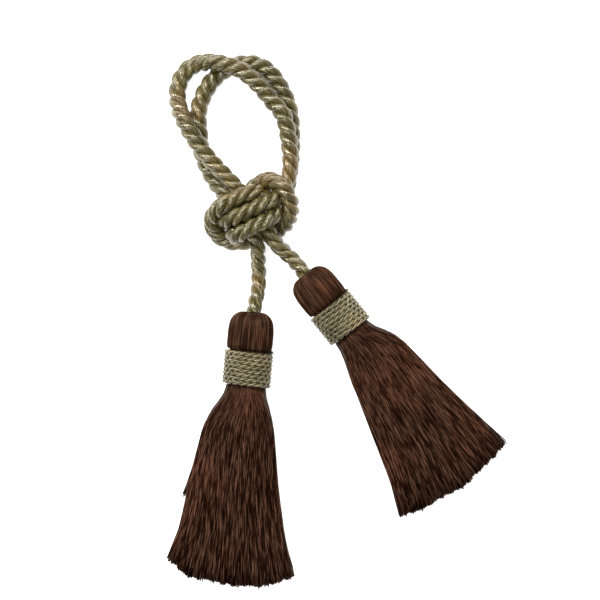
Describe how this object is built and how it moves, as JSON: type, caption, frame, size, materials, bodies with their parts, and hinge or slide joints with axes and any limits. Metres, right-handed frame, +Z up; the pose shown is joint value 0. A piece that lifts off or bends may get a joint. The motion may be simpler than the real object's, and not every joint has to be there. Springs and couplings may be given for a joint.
{
  "type": "double tassel curtain tieback",
  "caption": "Knotted curtain tieback of thick twisted khaki cord with a doubled loop, ending in dark brown tassels with wound bands.",
  "frame": {"origin": "centre of the whole tieback in plan, on the surface that it lies on", "axes": "+Y from the tassels towards the top of the cord loop, +Z up from the surface, +X to the right seen from above"},
  "size_m": [0.1554, 0.2437, 0.0236],
  "materials": {
    "cord": "satin",
    "tassel": "satin",
    "band": "satin"
  },
  "bodies": {
    "root": {"cord": "cord", "tassel_left": "tassel", "tassel_right": "tassel", "band_left": "band", "band_right": "band"}
  },
  "joints": []
}
